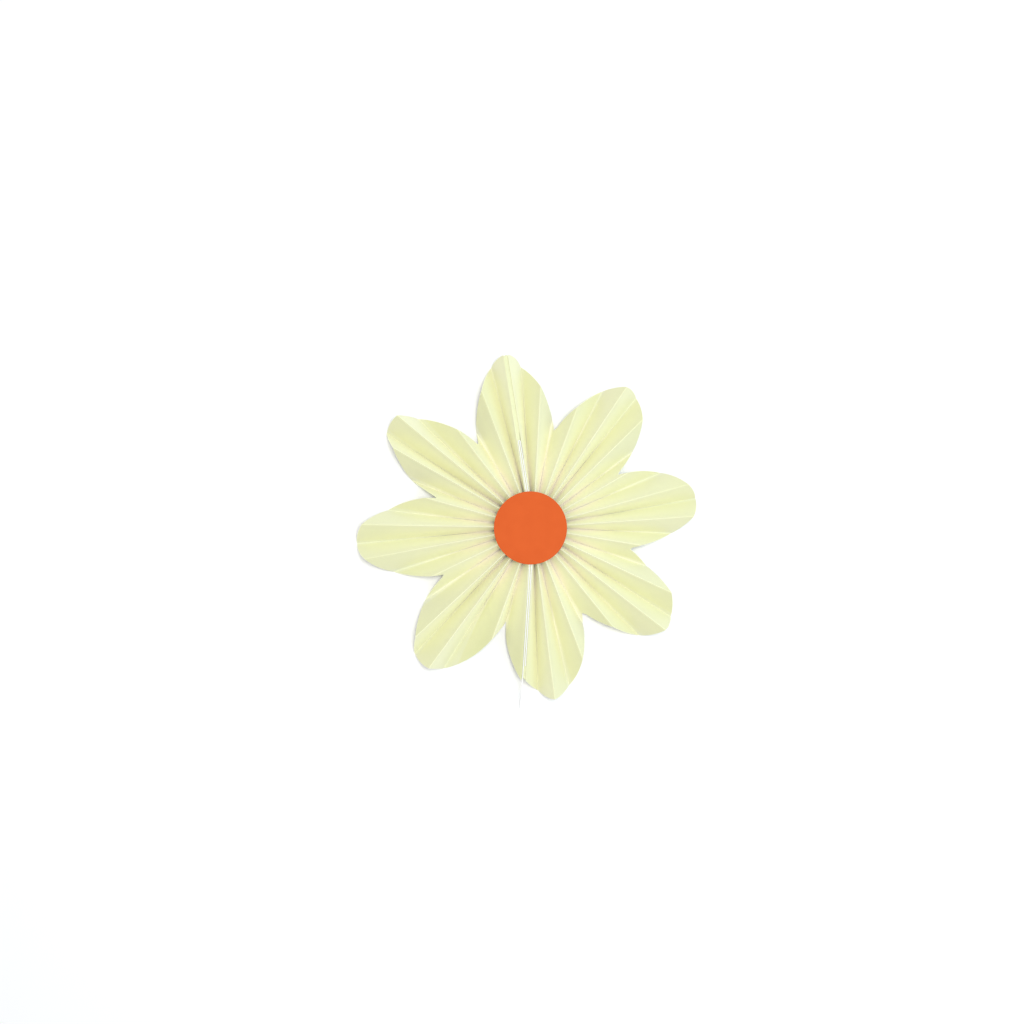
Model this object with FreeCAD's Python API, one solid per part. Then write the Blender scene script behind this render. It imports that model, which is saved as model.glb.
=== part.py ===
# A paper rosette in the form of a daisy. One die cut sheet is pleated, tied round its
# middle and opened out on both sides of the tie into a full circle with eight petals.
# Two strips of tape close the circle, a card disc covers the tie on the front, and the
# tie's string leaves one hanging loop at the top and two free tails at the bottom.
#
# It lies on its back. +Z is up, to the front of the flower, +X is to the right and +Y
# to the top. Lengths are in millimetres and angles in degrees, counted from +X.
import FreeCAD
import Part
import math
import os
from FreeCAD import Vector

# The sheet
paper_thickness = 0.25
panel_width = 22.0
petal_count = 8
tip_radius = 126.7
notch_radius = 71.6
petal_roundness = 0.85
first_tip_fold = 2.0
tie_off_centre = 4.0

# Directions of the folds as this rosette was opened by hand. The first ridge is the
# bottom seam. Counted from it, the top seam comes after the pleats of the right half.
ridge_directions = [
    266.5, 277.3, 290.8, 309.0, 322.3, 334.8, 350.7, 364.0, 375.5, 390.0, 404.5, 416.3, 429.7,
    446.8, 459.0, 470.6, 487.5, 500.4, 510.3, 524.5, 539.0, 550.6, 565.8, 583.0, 593.5, 610.0,
]
valley_directions = [
    272.0, 283.0, 297.5, 314.6, 327.2, 341.3, 357.6, 370.0, 383.0, 397.0, 411.3, 422.8, 439.5,
    454.2, 464.5, 480.8, 496.6, 507.2, 518.8, 533.3, 545.3, 557.8, 574.0, 587.0, 597.8, 614.0,
]
right_pleat_count = 14

# How far some creases were folded from their even places on the die cut pattern, as a
# share of a pleat. The last number is for the free edge that closes the bottom seam.
crease_shifts = {4: 0.12, 11: 0.15, 26: -0.12, 27: -0.2, 32: -0.2, 49: -0.55, 50: 0.32, 51: -0.3, 52: 0.32}

# The waist, where the string pinches the pleats
waist_radius = 6.0
waist_pinch = 1.8
waist_step = 0.4
waist_bite = 0.5
shoulder_radius = 22.0
rim_step_count = 3

# The string, in two strands side by side
string_diameter = 0.8
strand_offset = 0.8
string_clearance = 0.3
run_share = 0.45

# The tie, its knot in the bottom seam and the loop's hitch in the top seam
tie_corner_radius = 0.9
knot_length = 2.8
knot_wrap_count = 3
hitch_length = 1.9
hitch_wrap_count = 2
knot_radius = 1.22
knot_bite = 0.5
wrap_bulge = 0.15

# The seams
seam_tape_thickness = 0.2
seam_tape_wing = 6.0
tape_reach = 0.3
tape_step_count = 4
tape_gap = 0.12
seam_tape_start = 10.5
seam_tape_end_margin = 2.0
glue_gap = 0.05
bed_gap = 0.5

# The centre
disc_radius = 26.5
disc_thickness = 0.4
disc_shift_x = -1.8
disc_shift_y = -0.2
pad_inner_radius = 14.0
pad_outer_radius = 21.5
pad_thickness = 0.8

# The string beyond the waist. The long tail's route past the rim is a list of how far
# out of the rim, how far to the side of the seam and how far below the seam each point
# lies, and then of its points on the floor.
loop_reach = 64.0
short_tail_reach = 101.0
tail_rim_margin = 6.0
tail_over_rim = [(5.6, -0.1, 0.1), (11.0, -0.3, 3.4), (16.0, -0.4, 9.4)]
tail_on_floor = [(22.4, -0.5), (28.8, -0.7), (35.0, -0.8)]

# Worked out from the sizes above
fold_count = 2 * len(ridge_directions)
top_seam_fold = 2 * right_pleat_count
folds_per_petal = fold_count / petal_count
string_radius = string_diameter / 2
seam_half_gap = strand_offset + string_radius + string_clearance
string_depth = string_radius + glue_gap
tape_depth = string_diameter + bed_gap
tie_half_span = waist_radius - string_radius - string_clearance
core_low = waist_pinch + waist_step
core_high = panel_width - waist_pinch - waist_step


def polar(radius, degrees, height=0.0):
    """A point at a distance from the tie, in a direction and at a height."""
    angle = math.radians(degrees)
    return Vector(radius * math.cos(angle), radius * math.sin(angle), height)


def is_ridge(fold):
    """Folds with even numbers are ridges on the front, the others are valleys."""
    return fold % 2 == 0


def fold_direction(fold):
    """The direction in which fold number 0 to fold_count runs out from the tie."""
    turn, place = divmod(fold, fold_count)
    directions = ridge_directions if is_ridge(fold) else valley_directions
    return directions[place // 2] + 360.0 * turn


def direction_between(fold):
    """The direction of a place between two folds, given as a fraction of a fold number."""
    low = math.floor(fold)
    share = fold - low
    return fold_direction(low) * (1 - share) + fold_direction(low + 1) * share


def crease_shift(fold):
    """The shift of a fold. The two free edges at the bottom seam lie on each other, so
    they share theirs."""
    return crease_shifts.get(fold % fold_count or fold_count, 0.0)


def pattern_place(fold):
    """Where a fold, or a place between two folds, lies on the die cut pattern, counted in
    even pleats."""
    low = math.floor(fold)
    return fold + crease_shift(low) + (crease_shift(low + 1) - crease_shift(low)) * (fold - low)


def rim_radius(fold):
    """How far the die cut rim is from the tie at a fold or between two folds."""
    offset = (pattern_place(fold) - first_tip_fold) / folds_per_petal
    from_tip = abs(offset - round(offset)) * 2
    tip = tip_radius - tie_off_centre * math.cos(math.radians(direction_between(fold)))
    return notch_radius + (tip - notch_radius) * math.cos(from_tip * math.pi / 2) ** petal_roundness


def ridge_height(fold, radius):
    """The height of a ridge, where panels of a fixed width are opened to the width of
    their neighbours' gaps. A wide gap pulls the ridge down."""
    gaps = []
    for neighbour in (fold - 1, fold + 1):
        opened = abs(fold_direction(neighbour) - fold_direction(fold))
        reach = min(radius, rim_radius(neighbour))
        gaps.append(2 * reach * math.sin(math.radians(opened) / 2))
    mean_square = sum(gap * gap for gap in gaps) / len(gaps)
    return math.sqrt(max(panel_width ** 2 - mean_square, (panel_width / 2) ** 2))


def waist_direction(fold, first, last):
    """Where a fold of one half starts at the waist. The folds of a half share the half
    circle evenly, less the room for the string beside each seam."""
    middle = 0.0 if first == 0 else 180.0
    room = math.degrees(math.asin(seam_half_gap / waist_radius))
    half_turn = 90.0 - room
    share = (fold - first) / (last - first)
    return middle - half_turn + 2 * half_turn * share


def fold_stations(fold, first, last):
    """The three points that a fold runs through: waist, shoulder and rim. A free edge
    at a seam runs beside the seam line, at half the seam's gap."""
    radii = (waist_radius, shoulder_radius, rim_radius(fold))
    points = []
    for number, radius in enumerate(radii):
        direction = fold_direction(fold)
        if fold == first:
            direction += math.degrees(math.asin(seam_half_gap / radius))
        elif fold == last:
            direction -= math.degrees(math.asin(seam_half_gap / radius))
        height = ridge_height(fold, radius) if is_ridge(fold) else paper_thickness
        if number == 0:
            direction = waist_direction(fold, first, last)
            height += -waist_pinch if is_ridge(fold) else waist_pinch
        points.append(polar(radius, direction, height))
    return points


def unit(vector):
    return vector * (1.0 / vector.Length)


def blend(a, b, share):
    return a + (b - a) * share


def panel_normal(own, other, station, forward):
    """The front normal of the panel between two folds, at one fold's station."""
    inner = max(station - 1, 0)
    along = own[inner + 1] - own[inner]
    across = other[station] - own[station]
    return unit(along.cross(across)) * (1.0 if forward else -1.0)


def panel_side(own, other, fold, forward):
    """A panel's front and back points along one of its folds. A ridge is sharp inside,
    at the back, and a valley is sharp at the front, so the paper runs on round each fold."""
    front = []
    back = []
    for station, point in enumerate(own):
        step = panel_normal(own, other, station, forward) * paper_thickness
        front.append(point + step if is_ridge(fold) else point)
        back.append(point if is_ridge(fold) else point - step)
    return front, back


def at_radius(points, fold, radius):
    """A point on the outer straight of a fold, or on its extension."""
    return blend(points[1], points[2], (radius - shoulder_radius) / (rim_radius(fold) - shoulder_radius))


def line(a, b):
    return Part.LineSegment(a, b).toShape()


def corner_face(a, b, c):
    return Part.Face(Part.makePolygon([a, b, c, a]))


def rim_curve(left, right, fold, start, end):
    """The die cut edge on one side of a panel, from one share of its width to another."""
    points = []
    for step in range(rim_step_count + 1):
        share = start + (end - start) * step / rim_step_count
        radius = rim_radius(fold + share)
        points.append(blend(at_radius(left, fold, radius), at_radius(right, fold + 1, radius), share))
    curve = Part.BSplineCurve()
    curve.interpolate(points)
    return curve.toShape()


def notch_share(fold):
    """The share of a panel's width at which a notch between petals falls, if one does."""
    start = pattern_place(fold)
    end = pattern_place(fold + 1)
    petals = math.ceil((start - first_tip_fold) / folds_per_petal - 0.5)
    notch = (petals + 0.5) * folds_per_petal + first_tip_fold
    share = (notch - start) / (end - start)
    return share if 0.0 < share < 1.0 else None


def panel_faces(left, right, fold):
    """Front, back, rim and waist faces of one panel. A panel with a notch in its rim is
    built in two strips that meet at the notch."""
    notch = notch_share(fold)
    shares = [0.0, 1.0] if notch is None else [0.0, notch, 1.0]
    faces = []
    for start, end in zip(shares, shares[1:]):
        rims = []
        waists = []
        for near, far in zip(left, right):
            waist = line(blend(near[0], far[0], start), blend(near[0], far[0], end))
            shoulder = line(blend(near[1], far[1], start), blend(near[1], far[1], end))
            rim = rim_curve(near, far, fold, start, end)
            faces.append(Part.makeRuledSurface(waist, shoulder))
            faces.append(Part.makeRuledSurface(shoulder, rim))
            rims.append(rim)
            waists.append(waist)
        faces.append(Part.makeRuledSurface(rims[0], rims[1]))
        faces.append(Part.makeRuledSurface(waists[0], waists[1]))
    return faces


def strip_faces(points_a, points_b):
    """The faces between two lines of stations, from the waist to the rim."""
    faces = []
    for station in (0, 1):
        edge_a = line(points_a[station], points_a[station + 1])
        edge_b = line(points_b[station], points_b[station + 1])
        faces.append(Part.makeRuledSurface(edge_a, edge_b))
    return faces


def crease_faces(before, after, fold):
    """The narrow outer strip of a fold and the two small corners at its ends."""
    outer, inner = (0, 1) if is_ridge(fold) else (1, 0)
    faces = strip_faces(before[outer], after[outer])
    for station in (0, 2):
        faces.append(corner_face(after[inner][station], before[outer][station], after[outer][station]))
    return faces


def half_fan(first, last):
    """One half of the opened sheet, from the free edge at one seam to the other."""
    lines = {fold: fold_stations(fold, first, last) for fold in range(first, last + 1)}
    faces = []
    before = None
    for fold in range(first, last):
        left = panel_side(lines[fold], lines[fold + 1], fold, True)
        right = panel_side(lines[fold + 1], lines[fold], fold + 1, False)
        faces += panel_faces(left, right, fold)
        faces += strip_faces(*left) if before is None else crease_faces(before, left, fold)
        before = right
    faces += strip_faces(*before)
    shell = Part.makeShell(faces)
    shell.sewShape()
    solid = Part.makeSolid(shell)
    if solid.Volume < 0:
        solid.reverse()
    return solid


def waist_core():
    """The pleats pressed together inside the tie, with room for the string at each seam."""
    core = Part.makeCylinder(waist_radius + waist_bite, core_high - core_low, Vector(0, 0, core_low))
    half_slot = seam_half_gap + paper_thickness / 2
    slot_floor = tie_half_span - string_radius - string_clearance
    slot = Part.makeBox(2 * half_slot, waist_radius, panel_width, Vector(-half_slot, slot_floor, 0))
    core = core.cut(slot)
    return core.cut(slot.mirror(Vector(0, 0, 0), Vector(0, 1, 0)))


def pleated_fan():
    """The whole sheet: both halves, joined through the waist."""
    halves = [half_fan(0, top_seam_fold), half_fan(top_seam_fold, fold_count)]
    return waist_core().fuse(halves).Solids[0]


def seam_line(fold):
    """Waist, shoulder and rim points of a seam's middle, at the height of its edges."""
    waist_angle = 270.0 if fold == 0 else 90.0
    points = []
    for number, radius in enumerate((waist_radius, shoulder_radius, rim_radius(fold))):
        direction = fold_direction(fold) if number else waist_angle
        pinch = 0.0 if number else waist_pinch
        points.append(polar(radius, direction, ridge_height(fold, radius) - pinch))
    return points


def seam_panels(fold):
    """The back lines of the two end panels at a seam: each one's free edge, and the line
    beside it that the tape reaches."""
    low, high = (0, top_seam_fold) if fold == 0 else (top_seam_fold, fold_count)
    after = [fold_stations(number, low, high) for number in (fold, fold + 1)]
    last = fold_count if fold == 0 else top_seam_fold
    low, high = (top_seam_fold, fold_count) if fold == 0 else (0, top_seam_fold)
    before = [fold_stations(number, low, high) for number in (last, last - 1)]
    panels = []
    for (edge, foot), own, forward in ((after, fold, True), (before, last, False)):
        other = own + 1 if forward else own - 1
        edge_back = panel_side(edge, foot, own, forward)[1]
        foot_back = panel_side(foot, edge, other, not forward)[1]
        beside = [blend(a, b, tape_reach) for a, b in zip(edge_back, foot_back)]
        radius = rim_radius(blend(own, other, tape_reach))
        beside[2] = blend(at_radius(edge_back, own, radius), at_radius(foot_back, other, radius), tape_reach)
        panels.append((edge_back, beside))
    return panels


def at_plane(points, span, place, normal):
    """Where a line of stations passes a plane, on its inner (0) or outer (1) span."""
    start, end = points[span], points[span + 1]
    along = end - start
    return start + along * ((place - start).dot(normal) / along.dot(normal))


def tape_section(fold, span, place, normal):
    """The outline of a seam's tape: a flat bridge between the two end panels, with a
    wing glued to the back of each."""
    outer = []
    inner = []
    for (edge_line, foot_line), turn in zip(seam_panels(fold), (-1.0, 1.0)):
        edge = at_plane(edge_line, span, place, normal)
        foot = at_plane(foot_line, span, place, normal)
        down = unit(foot - edge)
        inward = normal.cross(down) * turn
        side = []
        for layer in (0.0, seam_tape_thickness):
            start = edge + inward * (tape_gap + layer)
            level = edge.z - tape_depth - layer
            side.append([start + down * ((start.z - level) / -down.z), start + down * seam_tape_wing])
        outer.append(side[0])
        inner.append(side[1])
    corners = [outer[0][0], outer[0][1], inner[0][1], inner[0][0]]
    corners += [inner[1][0], inner[1][1], outer[1][1], outer[1][0]]
    return Part.makePolygon(corners + corners[:1])


def seam_tape(fold):
    """A strip of tape along a seam, from just outside the knot to just inside the rim."""
    middle = seam_line(fold)
    first_run = unit(Vector(middle[1].x - middle[0].x, middle[1].y - middle[0].y, 0))
    second_run = unit(Vector(middle[2].x - middle[1].x, middle[2].y - middle[1].y, 0))
    start = first_run * (seam_tape_start - waist_radius) + middle[0]
    end = middle[2] - second_run * seam_tape_end_margin
    sections = [tape_section(fold, 0, start, first_run)]
    for step in range(tape_step_count + 1):
        place = blend(middle[1], end, step / tape_step_count)
        sections.append(tape_section(fold, 1 if step else 0, place, second_run))
    return Part.makeLoft(sections, True, True)


def string_tube(route, label):
    """A round string along straight runs joined by tangent arcs, each as large as its
    two runs allow."""
    edges = []
    start = route[0]
    radii = []
    for before, corner, after in zip(route, route[1:], route[2:]):
        run_in = before - corner
        run_out = after - corner
        half_turn = (math.pi - run_in.getAngle(run_out)) / 2
        reach = run_share * min(run_in.Length, run_out.Length)
        radii.append(reach / math.tan(half_turn))
        arc_start = corner + unit(run_in) * reach
        arc_end = corner + unit(run_out) * reach
        inward = unit(unit(run_in) + unit(run_out))
        distance = radii[-1] * (1.0 / math.cos(half_turn) - 1.0)
        edges.append(line(start, arc_start))
        edges.append(Part.Arc(arc_start, corner + inward * distance, arc_end).toShape())
        start = arc_end
    edges.append(line(start, route[-1]))
    path = Part.Wire(edges)
    circle = Part.Circle(route[0], unit(route[1] - route[0]), string_radius)
    tube = path.makePipeShell([Part.Wire(circle.toShape())], True, False)
    section = math.pi * string_radius ** 2
    print(label, "length", round(path.Length, 1), "by volume", round(tube.Volume / section, 1),
          "smallest radius", round(min(radii), 2))
    return tube


def seam_place(fold, station, shift):
    """A point in a seam at the string's height, moved sideways across the seam. Shift is
    to the left of someone who looks out from the tie."""
    middle = seam_line(fold)
    runs = [middle[1] - middle[0], middle[2] - middle[1]]
    run = runs[0] if station == 0 else runs[1]
    left = unit(Vector(-run.y, run.x, 0))
    return middle[station] + left * shift - Vector(0, 0, string_depth)


def knot_frame(fold):
    """Where a knot starts in a seam, and the direction in which it lies."""
    start = seam_place(fold, 0, 0)
    along = unit(seam_place(fold, 1, 0) - start)
    return start - along * knot_bite, along


def strand_start(fold, shift, length):
    """Where a strand leaves the end of the knot or hitch."""
    start, along = knot_frame(fold)
    left = unit(Vector(-along.y, along.x, 0))
    return start + along * length + left * shift


def out_in_seam(fold, reach, shift):
    """A point in the outer run of a seam, at a distance from the tie."""
    share = (reach - shoulder_radius) / (rim_radius(fold) - shoulder_radius)
    return blend(seam_place(fold, 1, shift), seam_place(fold, 2, shift), share)


def hanging_loop():
    """The doubled string in the top seam, with its closed end outwards."""
    fold = top_seam_fold
    out = [strand_start(fold, -strand_offset, hitch_length)]
    back = [strand_start(fold, strand_offset, hitch_length)]
    for strand, shift in ((out, -strand_offset), (back, strand_offset)):
        strand.append(out_in_seam(fold, shoulder_radius, shift))
        strand.append(out_in_seam(fold, loop_reach, shift))
    return string_tube(out + back[::-1], "hanging_loop")


def short_tail():
    return string_tube([
        strand_start(0, strand_offset, knot_length),
        out_in_seam(0, shoulder_radius, strand_offset),
        out_in_seam(0, short_tail_reach, strand_offset),
    ], "string_tail_short")


def long_tail(floor):
    """The tail that runs out over the rim and down to the surface the fan lies on."""
    rim = rim_radius(0)
    route = [
        strand_start(0, -strand_offset, knot_length),
        out_in_seam(0, shoulder_radius, -strand_offset),
        out_in_seam(0, rim - tail_rim_margin, -strand_offset),
    ]
    for out, side, below in tail_over_rim:
        route.append(out_in_seam(0, rim, side - strand_offset))
        route[-1] += outward(0) * out - Vector(0, 0, below)
    for out, side in tail_on_floor:
        place = out_in_seam(0, rim, side - strand_offset) + outward(0) * out
        place.z = floor + string_radius
        route.append(place)
    return string_tube(route, "string_tail_long")


def outward(fold):
    return polar(1.0, fold_direction(fold))


def tie_turn(shift):
    """One turn of the string round the pressed pleats, through both seams."""
    low = core_low - glue_gap - string_radius
    high = core_high + glue_gap + string_radius
    bend = tie_corner_radius
    corners = [Vector(shift, tie_half_span, high), Vector(shift, -tie_half_span, high),
               Vector(shift, -tie_half_span, low), Vector(shift, tie_half_span, low)]
    edges = []
    for number, corner in enumerate(corners):
        before = unit(corners[number - 1] - corner)
        after = unit(corners[(number + 1) % 4] - corner)
        start = corner + before * bend
        end = corner + after * bend
        middle = corner + (before + after) * (bend * (1.0 - math.sqrt(0.5)))
        edges.append(Part.Arc(start, middle, end).toShape())
        edges.append(line(end, corners[(number + 1) % 4] - after * bend))
    circle = Part.Circle(corners[0] + unit(corners[1] - corners[0]) * bend, Vector(0, 1, 0), string_radius)
    return Part.Wire(edges).makePipeShell([Part.Wire(circle.toShape())], True, False)


def knot(fold, length, wraps):
    """The wrapped knot from which two strands leave, lying in a seam against the tie."""
    start, along = knot_frame(fold)
    body = Part.makeCylinder(knot_radius, length, start, along)
    pitch = length / wraps
    ring_radius = knot_radius + wrap_bulge - string_radius
    for number in range(wraps):
        place = start + along * (pitch * (number + 0.5))
        body = body.fuse(Part.makeTorus(ring_radius, string_radius, place, along))
    return body


def waist_tie():
    """The tied string: two turns round the waist, the knot and the loop's hitch."""
    bottom_knot = knot(0, knot_length, knot_wrap_count)
    top_hitch = knot(top_seam_fold, hitch_length, hitch_wrap_count)
    return tie_turn(-strand_offset).fuse([tie_turn(strand_offset), bottom_knot, top_hitch]).Solids[0]


def pad_height():
    """The foam ring lies on the highest ridges, which are at the shoulder."""
    return max(ridge_height(fold, shoulder_radius) for fold in range(0, fold_count, 2)) + 3 * glue_gap


def disc_pad():
    ring = Part.makeCylinder(pad_outer_radius, pad_thickness, Vector(0, 0, pad_height()))
    return ring.cut(Part.makeCylinder(pad_inner_radius, pad_thickness, Vector(0, 0, pad_height())))


def centre_disc():
    place = Vector(disc_shift_x, disc_shift_y, pad_height() + pad_thickness)
    return Part.makeCylinder(disc_radius, disc_thickness, place)


fan = pleated_fan()
pieces = {
    "pleated_fan": fan,
    "seam_tape_bottom": seam_tape(0),
    "seam_tape_top": seam_tape(top_seam_fold),
    "waist_tie": waist_tie(),
    "string_tail_long": long_tail(fan.optimalBoundingBox().ZMin),
    "string_tail_short": short_tail(),
    "hanging_loop": hanging_loop(),
    "disc_pad": disc_pad(),
    "centre_disc": centre_disc(),
}

# The origin is at the middle of the fan's outline, on the surface it lies on
outline = fan.optimalBoundingBox()
to_origin = Vector(-outline.Center.x, -outline.Center.y, -outline.ZMin)

os.makedirs("parts", exist_ok=True)
for name, piece in pieces.items():
    piece.translate(to_origin)
    piece.exportStep("parts/" + name + ".step")
    box = piece.optimalBoundingBox()
    print(name, "solids", len(piece.Solids), "valid", piece.isValid(), "volume", round(piece.Volume, 1),
          "size", round(box.XLength, 1), round(box.YLength, 1), round(box.ZLength, 1))
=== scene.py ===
# %% [markdown]
# # A paper daisy rosette
# This script dresses a paper fan rosette: a die cut sheet that is pleated, tied round
# its waist and opened into a daisy, with a card disc on the front and the tie's string
# running out of both seams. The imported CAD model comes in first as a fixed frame, and
# every piece below is made in place, in metres, in that same frame.

# %% Load the frame
import math

import bmesh
import bpy
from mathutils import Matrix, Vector


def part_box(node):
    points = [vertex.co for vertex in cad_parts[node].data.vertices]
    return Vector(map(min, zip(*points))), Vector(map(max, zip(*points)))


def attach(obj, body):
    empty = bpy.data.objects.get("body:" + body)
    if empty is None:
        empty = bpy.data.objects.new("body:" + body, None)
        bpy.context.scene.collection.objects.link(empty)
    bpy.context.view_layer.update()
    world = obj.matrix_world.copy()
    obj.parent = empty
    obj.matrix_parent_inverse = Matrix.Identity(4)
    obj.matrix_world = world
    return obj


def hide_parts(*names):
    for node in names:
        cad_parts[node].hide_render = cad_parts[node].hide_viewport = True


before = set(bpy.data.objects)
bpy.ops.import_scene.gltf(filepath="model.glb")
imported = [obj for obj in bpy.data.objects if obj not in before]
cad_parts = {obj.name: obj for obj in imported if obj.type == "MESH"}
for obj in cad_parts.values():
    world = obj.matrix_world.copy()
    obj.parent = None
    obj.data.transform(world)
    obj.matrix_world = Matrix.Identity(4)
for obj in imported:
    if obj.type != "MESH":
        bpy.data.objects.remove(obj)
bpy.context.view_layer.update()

scene = bpy.context.scene
MM = 0.001
pad_low, pad_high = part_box("disc_pad")
hub = Vector(((pad_low.x + pad_high.x) / 2, (pad_low.y + pad_high.y) / 2, 0))
print("the folds meet at", [round(c / MM, 2) for c in hub], "mm")

# %% [markdown]
# ## The camera
# The rosette is looked at from straight above, from about a metre. At that distance the
# ridges look a little further out than the floor, so a real perspective lens is used
# and not an orthographic one. The lens follows from how many millimetres of floor one
# picture point covers.

# %% Camera
camera_height = 1000 * MM
floor_per_pixel = 0.742 * MM
picture_width = 1024
camera_from_hub = Vector((-15.2 * MM, 11.35 * MM, camera_height))

camera_data = bpy.data.cameras.new("camera")
camera_data.sensor_width = 36
camera_data.lens = 36 * camera_height / (floor_per_pixel * picture_width)
camera = bpy.data.objects.new("camera", camera_data)
camera.location = hub + camera_from_hub
scene.collection.objects.link(camera)
scene.camera = camera
print("lens", round(camera_data.lens, 1), "mm")

# %% [markdown]
# ## Helpers for node trees
# Blender's node trees can be built in code as well as by hand. A few short helpers keep
# that readable: one adds a node and fills its inputs, where an input may be a number or
# the output of another node, and the others do this for the kinds of arithmetic.

# %% Tree helpers
def fill(tree, socket, value):
    """Links an output to an input, or writes a plain value into it."""
    if isinstance(value, bpy.types.NodeSocket):
        tree.links.new(value, socket)
    elif value is not None:
        socket.default_value = value


def add_node(tree, kind, inputs=None, **settings):
    """A new node with its settings, and its inputs by name or number."""
    node = tree.nodes.new(kind)
    for name, value in settings.items():
        setattr(node, name, value)
    for key, value in (inputs or {}).items():
        fill(tree, node.inputs[key], value)
    return node


def calc(tree, operation, *values):
    """One step of arithmetic on numbers."""
    inputs = dict(enumerate(values))
    return add_node(tree, "ShaderNodeMath", inputs, operation=operation).outputs[0]


def arithmetic(operation):
    """A short helper for one kind of step."""
    return lambda tree, first, second: calc(tree, operation, first, second)


plus, minus = arithmetic("ADD"), arithmetic("SUBTRACT")
times, over = arithmetic("MULTIPLY"), arithmetic("DIVIDE")


def vector_calc(tree, operation, *values):
    """One step of arithmetic on points and directions."""
    node = add_node(tree, "ShaderNodeVectorMath", dict(enumerate(values)), operation=operation)
    scalar = operation in ("LENGTH", "DOT_PRODUCT", "DISTANCE")
    return node.outputs["Value" if scalar else "Vector"]


def scaled(tree, vector, factor):
    """A direction made longer or shorter by a factor."""
    inputs = {"Vector": vector, "Scale": factor}
    return add_node(tree, "ShaderNodeVectorMath", inputs, operation="SCALE").outputs["Vector"]


def map_range(tree, value, low, high, new_low=0.0, new_high=1.0, smooth=False):
    """Moves a value from one range to another and stops at the ends."""
    kind = "SMOOTHSTEP" if smooth else "LINEAR"
    inputs = {"Value": value, "From Min": low, "From Max": high,
              "To Min": new_low, "To Max": new_high}
    return add_node(tree, "ShaderNodeMapRange", inputs, interpolation_type=kind).outputs[0]


print("helpers ready")

# %% [markdown]
# ## Helpers for Geometry Nodes pieces
# A Geometry Nodes tree has named inputs for its sizes. On the modifier each input is
# known by its socket's identifier, so that is looked up from the name. Afterwards the
# evaluated result is copied into a plain mesh, and the object that carried the modifier
# is deleted, so what is left has no live modifier.

# %% Geometry Nodes helpers
def new_geometry_tree(name, sizes):
    """An empty tree with a geometry input and output, and one input for each size."""
    tree = bpy.data.node_groups.new(name, "GeometryNodeTree")
    tree.interface.new_socket("Geometry", in_out="INPUT", socket_type="NodeSocketGeometry")
    tree.interface.new_socket("Geometry", in_out="OUTPUT", socket_type="NodeSocketGeometry")
    for label, kind in sizes.items():
        tree.interface.new_socket(label, in_out="INPUT", socket_type="NodeSocket" + kind)
    given = tree.nodes.new("NodeGroupInput").outputs
    result = tree.nodes.new("NodeGroupOutput").inputs
    return tree, given, result


def end_tree(tree, geometry, given, result):
    """The last steps of every tree: smooth shading, real geometry and the finish."""
    smooth = add_node(tree, "GeometryNodeSetShadeSmooth", {"Geometry": geometry})
    real = add_node(tree, "GeometryNodeRealizeInstances", {"Geometry": smooth.outputs[0]})
    done = add_node(tree, "GeometryNodeSetMaterial", {
        "Geometry": real.outputs[0], "Material": given["Finish"]})
    fill(tree, result["Geometry"], done.outputs[0])


def run_tree(carrier, tree, values):
    """Puts the tree on an object and sets its named inputs."""
    modifier = carrier.modifiers.new(tree.name, "NODES")
    modifier.node_group = tree
    identifiers = {item.name: item.identifier for item in tree.interface.items_tree
                   if item.item_type == "SOCKET" and item.in_out == "INPUT"}
    for label, value in values.items():
        modifier[identifiers[label]] = value


def add_object(data, name):
    """A new object at the origin for a mesh, a curve or a lamp."""
    piece = bpy.data.objects.new(name, data)
    scene.collection.objects.link(piece)
    return piece


def evaluated_mesh(carrier):
    """The evaluated object as a plain mesh. The carrier is deleted."""
    graph = bpy.context.evaluated_depsgraph_get()
    mesh = bpy.data.meshes.new_from_object(
        carrier.evaluated_get(graph), preserve_all_data_layers=True, depsgraph=graph)
    bpy.data.objects.remove(carrier)
    return mesh


def settle(carrier, name):
    """Turns the evaluated object into a plain mesh object."""
    mesh = evaluated_mesh(carrier)
    mesh.name = name
    return add_object(mesh, name)


def mesh_from(points, edges, faces, name):
    """A mesh from points and the numbers of the points in each edge and face."""
    mesh = bpy.data.meshes.new(name)
    mesh.from_pydata([tuple(p) for p in points], edges, faces)
    return mesh


print("geometry helpers ready")

# %% [markdown]
# ## A base for the finishes
# Every finish is a Principled shader whose colour and bump come from noise on the
# object's own coordinates, so nothing slides when the camera moves and nothing is
# painted from a picture. Its plain sockets, such as roughness, are set as numbers.

# %% Finish helpers
def new_finish(name, roughness, **sockets):
    """A material with its Principled shader's plain sockets set."""
    material = bpy.data.materials.new(name)
    material.use_nodes = True
    tree = material.node_tree
    shader = tree.nodes["Principled BSDF"]
    shader.inputs["Roughness"].default_value = roughness
    for label, value in sockets.items():
        shader.inputs[label.replace("_", " ")].default_value = value
    where = tree.nodes.new("ShaderNodeTexCoord").outputs["Object"]
    return material, tree, shader, where


def noise(tree, where, scale, detail=3.0, roughness=0.5, stretch=None):
    """Noise of a given scale, in cells a metre, stretched if asked."""
    if stretch:
        where = add_node(tree, "ShaderNodeMapping", {"Vector": where, "Scale": stretch}).outputs[0]
    inputs = {"Vector": where, "Scale": scale, "Detail": detail, "Roughness": roughness}
    return add_node(tree, "ShaderNodeTexNoise", inputs).outputs[0]


# The Mix node has sockets for each kind of value. These are the ones for colours.
MIX_FACTOR, MIX_FIRST, MIX_SECOND, MIX_RESULT = 0, 6, 7, 2


def mixed(tree, factor, first, second):
    """A colour between two others."""
    inputs = {MIX_FACTOR: factor, MIX_FIRST: first, MIX_SECOND: second}
    return add_node(tree, "ShaderNodeMix", inputs, data_type="RGBA").outputs[MIX_RESULT]


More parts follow.
